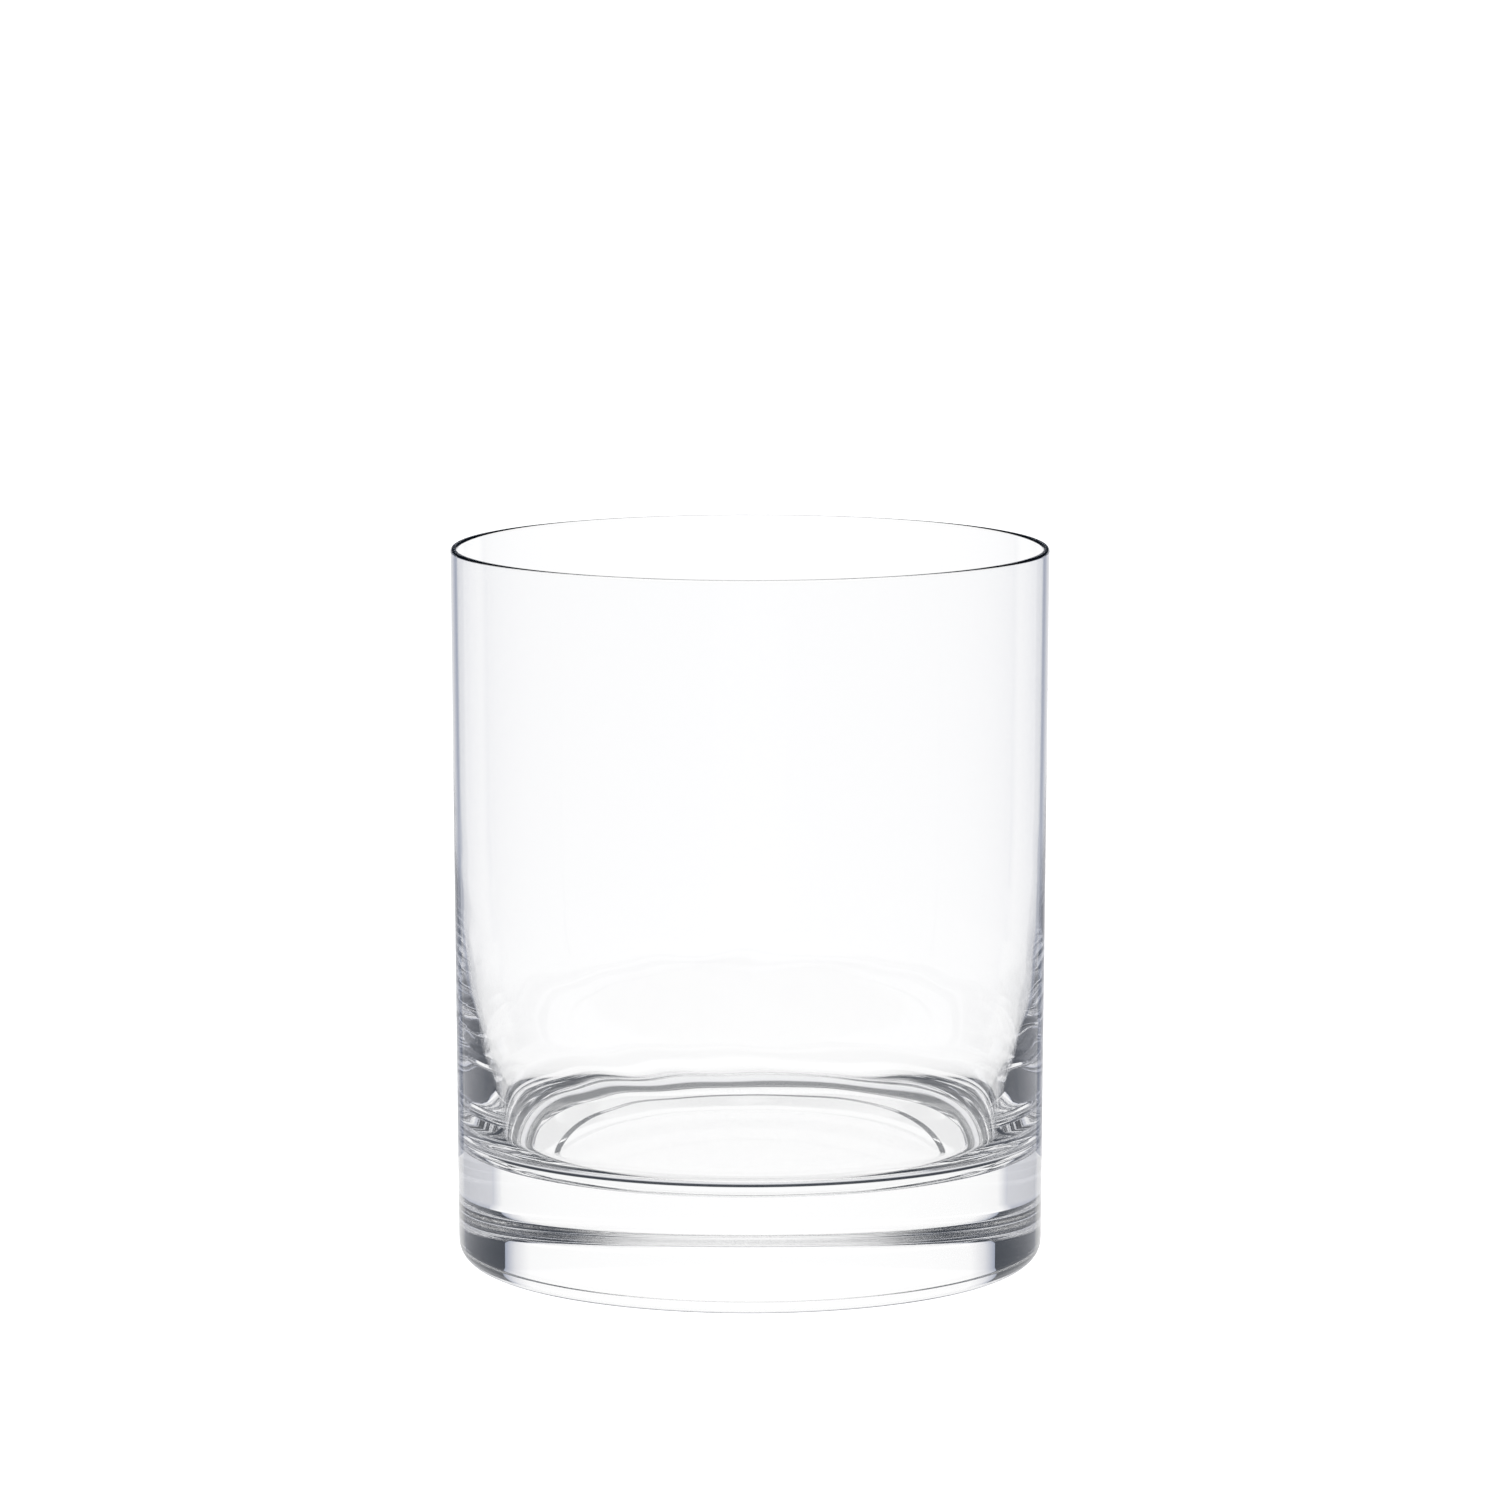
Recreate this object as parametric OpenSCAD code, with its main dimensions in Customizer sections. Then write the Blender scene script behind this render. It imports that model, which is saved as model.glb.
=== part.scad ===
// Whiskey tumbler: a straight-sided rocks glass made as one piece of clear
// soda-lime glass, with a thin fire-polished rim and a heavy solid base.
// It stands on a flat ring, and the underside within the ring rises in two shallow
// steps. The origin is the centre of the ring, at table height, and +Z runs up the
// glass's own axis.

/* [Outside] */
// Height from the table to the top of the rim
glass_h = 99; // [90:0.5:110]
// Diameter over the rim
rim_d = 82; // [78:0.5:90]
// Diameter of the side, carried down to table height
base_d = 80.6; // [74:0.1:82]
// Radius of the rounded heel between the side and the underside
heel_r = 3; // [1.5:0.1:4.5]

/* [Wall] */
// Wall thickness from the rim down to where the wall starts to thicken
rim_wall = 0.9; // [0.7:0.05:1.6]
// Height at which the wall starts to thicken towards the base
thicken_h = 70; // [55:1:80]
// Lean of the inner wall just above the floor's corner, in degrees
shoulder_lean = 10; // [6:0.5:16]

/* [Base] */
// Height of the inner floor above the table
floor_h = 15; // [10:0.5:20]
// Radius of the corner between the inner wall and the floor
corner_r = 6; // [3:0.5:9]
// Wall thickness where the inner wall runs into that corner
shoulder_wall = 4.2; // [3:0.1:6]
// Width of the flat ring that the glass stands on
foot_w = 3; // [2:0.5:6]
// Width of the shallow band between that ring and the raised middle of the underside
band_w = 6.5; // [4:0.5:9]
// Height of each of the two shallow steps of the underside
step_h = 0.2; // [0.1:0.05:0.5]

/* [Hidden] */

// Straight pieces that stand for a rounded corner, and for the long inner curve
ARC_STEPS = 12;
CURVE_STEPS = 28;
$fn = 180;

rim_r = rim_d / 2;
base_r = base_d / 2;

// The side flares by this angle, and the rim and the heel meet it smoothly
side_lean = atan((rim_r - base_r) / glass_h);
function side_r(h) = base_r + (rim_r - base_r) * h / glass_h;

// Points on an arc, and on a curve that leaves p0 towards p1 and reaches p3 from p2
function arc(centre, radius, from, to, steps) =
    [for (i = [0 : steps]) let (a = from + (to - from) * i / steps)
        centre + radius * [cos(a), sin(a)]];
function curve(p0, p1, p2, p3, steps) =
    [for (i = [0 : steps]) let (t = i / steps, s = 1 - t)
        s * s * s * p0 + 3 * s * s * t * p1 + 3 * s * t * t * p2 + t * t * t * p3];

// Rounded heel, tangent to the table plane and to the side
heel_centre = [base_r - heel_r * (1 - sin(side_lean)) / cos(side_lean), heel_r];
heel = arc(heel_centre, heel_r, -90, -side_lean, ARC_STEPS);

// Rim, a full round as thick as the wall under it
rim_centre = [rim_r - rim_wall / 2, glass_h - rim_wall / 2];
rim = arc(rim_centre, rim_wall / 2, -side_lean, 180 - side_lean, ARC_STEPS);

// Corner of the floor, tangent to the floor and to the leaning shoulder
shoulder_h = floor_h + corner_r * (1 - sin(shoulder_lean));
corner_centre = [side_r(shoulder_h) - shoulder_wall - corner_r * cos(shoulder_lean),
                 floor_h + corner_r];
corner = arc(corner_centre, corner_r, -shoulder_lean, -90, ARC_STEPS);

// Inner wall: parallel to the side at the top, then one sweep in to the shoulder.
// The two shares set how long it keeps each of its end directions.
TOP_SHARE = 0.73;
END_SHARE = 0.27;
function along(angle, distance) = distance * [sin(angle), cos(angle)];
sweep_top = [side_r(thicken_h) - rim_wall, thicken_h];
sweep_end = corner[0];
sweep_h = thicken_h - shoulder_h;
sweep = curve(sweep_top, sweep_top - along(side_lean, TOP_SHARE * sweep_h),
              sweep_end + along(shoulder_lean, END_SHARE * sweep_h), sweep_end, CURVE_STEPS);

// Underside, from the centre out: raised middle, the band round it, then the ring
// that the glass stands on. A short bank joins each level to the next.
BANK_W = 1;
foot_r = heel_centre[0] - foot_w;
middle_r = foot_r - band_w;
underside = [[0, 2 * step_h], [middle_r - BANK_W / 2, 2 * step_h],
             [middle_r + BANK_W / 2, step_h], [foot_r - BANK_W, step_h], [foot_r, 0]];

// Half section, from the underside round the heel, up the side, over the rim,
// down the inner wall and across the floor
section = concat(underside, heel, rim, sweep, corner, [[0, floor_h]]);

module tumbler() {
    color([0.90, 0.94, 0.96, 0.35])
        rotate_extrude() polygon(section);
}

tumbler();
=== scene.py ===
"""Looks for the whiskey tumbler: one clear glass on a pale floor, in soft studio light.

The glass is a surface of revolution. Its height and its radius at the rim come from the
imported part, and its wall and base follow the same curves as the part, apart from a slight
waviness of the inner wall.
"""
import math

import bpy
import numpy as np
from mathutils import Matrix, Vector


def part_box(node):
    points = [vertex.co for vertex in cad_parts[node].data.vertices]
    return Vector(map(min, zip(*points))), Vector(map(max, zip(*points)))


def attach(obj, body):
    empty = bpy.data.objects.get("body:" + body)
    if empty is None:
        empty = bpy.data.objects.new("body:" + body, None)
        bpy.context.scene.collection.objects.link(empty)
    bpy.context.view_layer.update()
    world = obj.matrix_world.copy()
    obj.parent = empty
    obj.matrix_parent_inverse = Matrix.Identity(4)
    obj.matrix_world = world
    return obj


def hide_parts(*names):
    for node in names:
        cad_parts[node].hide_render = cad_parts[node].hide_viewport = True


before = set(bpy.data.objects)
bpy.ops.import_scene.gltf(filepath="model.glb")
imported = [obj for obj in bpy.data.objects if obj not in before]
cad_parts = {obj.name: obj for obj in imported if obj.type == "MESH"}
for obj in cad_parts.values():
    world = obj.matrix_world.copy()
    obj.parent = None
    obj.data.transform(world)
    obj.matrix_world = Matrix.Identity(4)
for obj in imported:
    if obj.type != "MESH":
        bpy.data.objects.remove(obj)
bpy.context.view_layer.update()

MM = 0.001

# The glass, in metres. RIM_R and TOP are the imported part's own.
LOW, HIGH = (Vector(corner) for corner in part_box("tumbler"))
TOP = HIGH.z
RIM_R = (HIGH.x - LOW.x) / 2
BASE_R = 40.3 * MM
HEEL_R = 3.0 * MM
RIM_WALL = 0.9 * MM
THICKEN_Z = 70 * MM
SHOULDER_LEAN = math.radians(10)
SHOULDER_WALL = 4.2 * MM
FLOOR_Z = 15 * MM
CORNER_R = 6 * MM
TOP_SHARE, END_SHARE = 0.73, 0.27
FOOT_W = 3.0 * MM
BAND_W = 6.5 * MM
BANK_W = 1 * MM
STEP_Z = 0.2 * MM

# Points round the glass, and steps along each curved stretch of its section
AROUND = 320
HEEL_STEPS, RIM_STEPS, CORNER_STEPS, SWEEP_STEPS = 16, 20, 24, 56
# Spacing of the points at the ends of each straight stretch
FINEST, FINE, SWEEP_START, COARSE = 0.05 * MM, 0.12 * MM, 0.6 * MM, 1 * MM

# Waviness of the inner wall above the floor: its size, where it fades in and out, and each
# wave's share, number round the glass, climb per radian and start
WAVE = 0.011 * MM
WAVE_FOOT, WAVE_RISE, WAVE_TOP, WAVE_FADE = 26 * MM, 7 * MM, 64 * MM, 26 * MM
WAVES = ((1.0, 9, 1.6 * MM, 0.4), (0.7, 16, 1.2 * MM, 2.1), (0.5, 23, 2.4 * MM, 4.0))

# Refractive index of soda-lime glass
GLASS_INDEX = 1.52
# Bounce limits: with only 12, light that is trapped in the base ends in black streaks
BOUNCES = 48

# The studio, in metres: the floor, its patch under the glass, and the light cards behind
# and beside the glass. CARD_REACH is the distance that a card's brightness scale covers.
FLOOR_COLOUR = (0.95, 0.95, 0.96)
FLOOR_R, FLOOR_DROP = 40, 0.04 * MM
PATCH_R, PATCH_DROP = 0.044, 0.02 * MM
DISC_POINTS = 96
BACK_Y, BACK_FOOT, BACK_SPLIT, BACK_TOP = 0.140, -0.3, 0.006, 0.099
SIDE_Y, SIDE_FOOT, SIDE_TOP = 0.020, 0.010, 0.100
CARD_REACH = 0.2
# Brightness of each card at distances in millimetres to the left or right of the glass's axis
LOW_CARD = ((0, 1.0), (100, 0.97), (120, 0.6))
HIGH_CARD = ((0, 1.0), (70, 0.97), (84, 0.75), (98, 0.35))
SIDE_CARD = ((43.4, 0.86), (47.2, 0.63), (51, 0.4), (52.4, 0.36), (55.5, 0.9))
BACK_LIGHT, SIDE_LIGHT = 1.06, 0.95
# Brightness of the room at each height above the horizon, in degrees
ROOM = ((-90, 1.0), (-24, 1.0), (-14, 0.74), (-5, 0.6), (0.5, 0.48), (2, 0.02), (48, 0.02),
        (62, 1.0))
# Brightness of the table top at each distance in millimetres from the glass's axis. The dark
# ring under the foot, and the dimmer band just outside it, are a painted contact shadow.
PATCH_PAINTED_SHADOW = ((0, 1.0), (33.9, 1.0), (34.8, 0.02), (37.4, 0.02), (38.4, 0.75), (41, 0.9), (44, 0.95))

# The camera, about a metre in front of the glass and looking a little down on it
CAMERA_DISTANCE, CAMERA_HEIGHT = 1.023, 0.213
LOOK_DOWN = math.radians(7.912)
LENS, SENSOR = 180.4, 36
NEAREST = 0.01


def tone(level):
    """The colour of a brightness: white when bright, and a cooler blue the darker it is."""
    dim = max(0.0, 1 - level)
    return (level * (1 - 0.38 * dim ** 3), level, level * (1 + 0.62 * dim ** 2))


def arc(centre, radius, start, end, steps):
    """Points on an arc, angles in radians."""
    a = np.linspace(start, end, steps + 1)
    return np.stack([centre[0] + radius * np.cos(a), centre[1] + radius * np.sin(a)], 1)


def curve(p0, p1, p2, p3, steps):
    """Points on a cubic curve that leaves p0 towards p1 and reaches p3 from p2."""
    t = np.linspace(0, 1, steps + 1)[:, None]
    s = 1 - t
    return s ** 3 * p0 + 3 * s * s * t * p1 + 3 * s * t * t * p2 + t ** 3 * p3


def straight(p0, p1, first, last, growth=1.35, longest=1.6 * MM):
    """Points between p0 and p1, close together at each end so that shading stays true."""
    length = float(np.hypot(*(p1 - p0)))

    def run(step):
        at, places = 0.0, []
        while at + step < length / 2:
            at += step
            places.append(at)
            step = min(step * growth, longest)
        return places

    places = run(first) + [length - a for a in reversed(run(last))]
    return np.array([p0 + (p1 - p0) * (a / length) for a in places])


def section():
    """The half section: underside, heel, side, rim, inner wall and floor."""
    lean = math.atan((RIM_R - BASE_R) / TOP)

    def side_r(z):
        return BASE_R + (RIM_R - BASE_R) * z / TOP

    def along(angle, distance):
        return distance * np.array([math.sin(angle), math.cos(angle)])

    heel_mid = np.array([BASE_R - HEEL_R * (1 - math.sin(lean)) / math.cos(lean), HEEL_R])
    heel = arc(heel_mid, HEEL_R, -math.pi / 2, -lean, HEEL_STEPS)
    rim_mid = np.array([RIM_R - RIM_WALL / 2, TOP - RIM_WALL / 2])
    rim = arc(rim_mid, RIM_WALL / 2, -lean, math.pi - lean, RIM_STEPS)
    shoulder_z = FLOOR_Z + CORNER_R * (1 - math.sin(SHOULDER_LEAN))
    corner_mid = np.array([
        side_r(shoulder_z) - SHOULDER_WALL - CORNER_R * math.cos(SHOULDER_LEAN),
        FLOOR_Z + CORNER_R])
    corner = arc(corner_mid, CORNER_R, -SHOULDER_LEAN, -math.pi / 2, CORNER_STEPS)
    sweep_top = np.array([side_r(THICKEN_Z) - RIM_WALL, THICKEN_Z])
    height = THICKEN_Z - shoulder_z
    sweep = curve(sweep_top, sweep_top - along(lean, TOP_SHARE * height),
                  corner[0] + along(SHOULDER_LEAN, END_SHARE * height), corner[0],
                  SWEEP_STEPS)

    foot_r = heel_mid[0] - FOOT_W
    middle_r = foot_r - BAND_W
    middle = np.array([0.0, 2 * STEP_Z])
    turns = [middle, np.array([middle_r - BANK_W / 2, 2 * STEP_Z]),
             np.array([middle_r + BANK_W / 2, STEP_Z]), np.array([foot_r - BANK_W, STEP_Z]),
             np.array([foot_r, 0.0]), heel[0]]
    underside = []
    for start, end, first in zip(turns, turns[1:], (COARSE, FINE, FINE, FINE, FINE)):
        underside += [[start], straight(start, end, first, FINE)]
    centre = np.array([0.0, FLOOR_Z])
    parts = [*underside, heel, straight(heel[-1], rim[0], FINE, FINEST), rim,
             straight(rim[-1], sweep[0], FINEST, SWEEP_START), sweep, corner[1:],
             straight(corner[-1], centre, FINE, COARSE), [centre]]
    return np.concatenate([np.asarray(p, float).reshape(-1, 2) for p in parts if len(p)])


def waviness(turn, z):
    """How far the inner wall stands off its plain radius, at each angle and height."""
    rise = np.clip((z - WAVE_FOOT) / WAVE_RISE, 0, 1) * np.clip((WAVE_TOP - z) / WAVE_FADE, 0, 1)
    waves = sum(share * np.sin(count * turn + z / climb + start)
                for share, count, climb, start in WAVES)
    return WAVE * rise * waves


def revolve(name, points):
    """A closed mesh of revolution about Z from a half section that starts and ends on the axis.

    The inner wall, which is the part of the section that runs back down, is a little wavy.
    """
    turn = np.linspace(0, 2 * math.pi, AROUND, endpoint=False)
    rings = points[1:-1]
    on_wall = np.arange(len(rings)) > np.argmax(rings[:, 1])
    radius = rings[:, :1] + np.where(on_wall[:, None], waviness(turn[None, :], rings[:, 1:]), 0)
    xyz = np.stack([radius * np.cos(turn), radius * np.sin(turn),
                    np.outer(rings[:, 1], np.ones(AROUND))], -1).reshape(-1, 3)
    verts = [tuple(v) for v in xyz] + [(0, 0, points[0, 1]), (0, 0, points[-1, 1])]
    low, high = len(xyz), len(xyz) + 1
    faces = []
    for i in range(AROUND):
        j = (i + 1) % AROUND
        faces.append((low, j, i))
        for k in range(len(rings) - 1):
            a, b = k * AROUND, (k + 1) * AROUND
            faces.append((a + i, a + j, b + j, b + i))
        last = (len(rings) - 1) * AROUND
        faces.append((last + i, last + j, high))
    mesh = bpy.data.meshes.new(name)
    mesh.from_pydata(verts, [], faces)
    mesh.update()
    mesh.polygons.foreach_set("use_smooth", [True] * len(mesh.polygons))
    piece = bpy.data.objects.new(name, mesh)
    bpy.context.scene.collection.objects.link(piece)
    return piece


def add(tree, kind, **values):
    """A shader node with its properties and its unlinked inputs set."""
    node = tree.nodes.new(kind)
    for key, value in values.items():
        if hasattr(node, key):
            setattr(node, key, value)
        else:
            node.inputs[key.replace("_", " ")].default_value = value
    return node


def glass_material():
    """Clear fire-polished glass: a long soft waviness, and smears too faint to see face on."""
    material = bpy.data.materials.new("clear_glass")
    material.use_nodes = True
    tree = material.node_tree
    shader = tree.nodes["Principled BSDF"]
    shader.inputs["Base Color"].default_value = (1, 1, 1, 1)
    shader.inputs["Transmission Weight"].default_value = 1
    shader.inputs["IOR"].default_value = GLASS_INDEX
    place = add(tree, "ShaderNodeTexCoord")

    smear = add(tree, "ShaderNodeTexNoise", Scale=70, Detail=3)
    tree.links.new(place.outputs["Object"], smear.inputs["Vector"])
    finish = add(tree, "ShaderNodeMapRange", To_Min=0.0, To_Max=0.012)
    tree.links.new(smear.outputs["Fac"], finish.inputs["Value"])
    tree.links.new(finish.outputs["Result"], shader.inputs["Roughness"])

    wave = add(tree, "ShaderNodeTexNoise", Scale=45, Detail=1)
    tree.links.new(place.outputs["Object"], wave.inputs["Vector"])
    bump = add(tree, "ShaderNodeBump", Strength=0.05, Distance=0.00002)
    tree.links.new(wave.outputs["Fac"], bump.inputs["Height"])
    tree.links.new(bump.outputs["Normal"], shader.inputs["Normal"])
    return material


def floor_material():
    """A matt white that also gives light of its own, so that the floor has no edge."""
    material = bpy.data.materials.new("floor")
    material.use_nodes = True
    shader = material.node_tree.nodes["Principled BSDF"]
    shader.inputs["Base Color"].default_value = (*FLOOR_COLOUR, 1)
    shader.inputs["Roughness"].default_value = 0.9
    shader.inputs["Specular IOR Level"].default_value = 0
    shader.inputs["Emission Color"].default_value = (*FLOOR_COLOUR, 1)
    shader.inputs["Emission Strength"].default_value = 1
    return material


def grade(tree, stops):
    """A colour ramp through the given places and colours."""
    ramp = tree.nodes.new("ShaderNodeValToRGB")
    made = ramp.color_ramp.elements
    while len(made) > 1:
        made.remove(made[-1])
    for at, (place, colour) in enumerate(stops):
        stop = made[0] if at == 0 else made.new(place)
        stop.position = place
        stop.color = (*colour, 1)
    return ramp


def light_material(name, measure, reach, levels, light):
    """A finish that only gives light, graded along a distance from the glass, in millimetres.

    measure(tree, place) gives the node output that holds the distance in metres, up to reach.
    """
    material = bpy.data.materials.new(name)
    material.use_nodes = True
    tree = material.node_tree
    tree.nodes.clear()
    place = add(tree, "ShaderNodeTexCoord")
    share = add(tree, "ShaderNodeMath", operation="DIVIDE")
    share.inputs[1].default_value = reach
    tree.links.new(measure(tree, place.outputs["Object"]), share.inputs[0])
    ramp = grade(tree, [(at * MM / reach, tone(level)) for at, level in levels])
    tree.links.new(share.outputs[0], ramp.inputs["Fac"])
    glow = add(tree, "ShaderNodeEmission", Strength=light)
    tree.links.new(ramp.outputs["Color"], glow.inputs["Color"])
    out = add(tree, "ShaderNodeOutputMaterial")
    tree.links.new(glow.outputs[0], out.inputs["Surface"])
    return material


def from_axis(tree, place):
    """How far a place is from the glass's axis, on a disc that is centred on it."""
    away = add(tree, "ShaderNodeVectorMath", operation="LENGTH")
    tree.links.new(place, away.inputs[0])
    return away.outputs["Value"]


def from_mid_plane(tree, place):
    """How far a place is to the left or right of the glass's axis."""
    axes = add(tree, "ShaderNodeSeparateXYZ")
    tree.links.new(place, axes.inputs["Vector"])
    aside = add(tree, "ShaderNodeMath", operation="ABSOLUTE")
    tree.links.new(axes.outputs["X"], aside.inputs[0])
    return aside.outputs[0]


def disc(name, radius, z, material):
    """A flat stage disc, centred on the glass's axis."""
    bpy.ops.mesh.primitive_circle_add(
        vertices=DISC_POINTS, radius=radius, fill_type="NGON", location=(0, 0, z))
    piece = bpy.context.object
    piece.name = name
    piece.data.materials.append(material)
    return piece


def card(name, x0, x1, y, foot, top, levels, light):
    """An upright card across x0 to x1, which lights the glass but is hidden from the camera."""
    mesh = bpy.data.meshes.new(name)
    corners = [(x0, y, foot), (x1, y, foot), (x1, y, top), (x0, y, top)]
    mesh.from_pydata(corners, [], [(0, 1, 2, 3)])
    mesh.materials.append(light_material(name, from_mid_plane, CARD_REACH, levels, light))
    piece = bpy.data.objects.new(name, mesh)
    piece.visible_camera = False
    bpy.context.scene.collection.objects.link(piece)


def both_sides(name, y, levels, light, foot, top):
    """The same card on the left and on the right, as far out as its levels go."""
    near, far = levels[0][0] * MM, levels[-1][0] * MM
    card(name + "_left", -far, -near, y, foot, top, levels, light)
    card(name + "_right", near, far, y, foot, top, levels, light)


def room_world():
    """The room that the glass sees, graded by height, behind the white that the camera sees."""
    world = bpy.data.worlds.new("studio")
    world.use_nodes = True
    tree = world.node_tree
    look = add(tree, "ShaderNodeTexCoord")
    axes = add(tree, "ShaderNodeSeparateXYZ")
    tree.links.new(look.outputs["Generated"], axes.inputs["Vector"])
    height = add(tree, "ShaderNodeMath", operation="ARCSINE")
    tree.links.new(axes.outputs["Z"], height.inputs[0])
    share = add(tree, "ShaderNodeMapRange")
    share.inputs["From Min"].default_value = -math.pi / 2
    share.inputs["From Max"].default_value = math.pi / 2
    tree.links.new(height.outputs[0], share.inputs["Value"])
    ramp = grade(tree, [((degrees + 90) / 180, tone(level)) for degrees, level in ROOM])
    tree.links.new(share.outputs["Result"], ramp.inputs["Fac"])
    ray = add(tree, "ShaderNodeLightPath")
    backdrop = add(tree, "ShaderNodeMixRGB")
    backdrop.inputs["Color2"].default_value = (1, 1, 1, 1)
    tree.links.new(ray.outputs["Is Camera Ray"], backdrop.inputs["Fac"])
    tree.links.new(ramp.outputs["Color"], backdrop.inputs["Color1"])
    tree.links.new(backdrop.outputs["Color"], tree.nodes["Background"].inputs["Color"])
    return world


# The glass
tumbler = revolve("tumbler_glass", section())
tumbler.data.materials.append(glass_material())
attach(tumbler, "root")
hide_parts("tumbler")

# The floor is one pale sweep that only the camera sees. The glass sees the patch of it that
# is right under the foot instead: a glowing disc with a painted contact shadow where the foot
# meets it.
floor = disc("floor", FLOOR_R, -FLOOR_DROP, floor_material())
floor.visible_transmission = False
floor.visible_glossy = False
patch = disc("floor_under_glass_painted_shadow", PATCH_R, -PATCH_DROP,
             light_material("floor_under_glass_painted_shadow", from_axis, PATCH_R, PATCH_PAINTED_SHADOW, 1.0))
patch.visible_camera = False

both_sides("card_low", BACK_Y, LOW_CARD, BACK_LIGHT, BACK_FOOT, BACK_SPLIT)
both_sides("card_high", BACK_Y, HIGH_CARD, BACK_LIGHT, BACK_SPLIT, BACK_TOP)
both_sides("card_side", SIDE_Y, SIDE_CARD, SIDE_LIGHT, SIDE_FOOT, SIDE_TOP)

camera_data = bpy.data.cameras.new("camera")
camera_data.lens = LENS
camera_data.sensor_width = SENSOR
camera_data.clip_start = NEAREST
camera = bpy.data.objects.new("camera", camera_data)
camera.location = (0, -CAMERA_DISTANCE, CAMERA_HEIGHT)
camera.rotation_euler = (math.pi / 2 - LOOK_DOWN, 0, 0)

scene = bpy.context.scene
scene.world = room_world()
scene.collection.objects.link(camera)
scene.camera = camera
scene.view_settings.view_transform = "Standard"
scene.cycles.max_bounces = BOUNCES
scene.cycles.transmission_bounces = BOUNCES
scene.cycles.glossy_bounces = BOUNCES
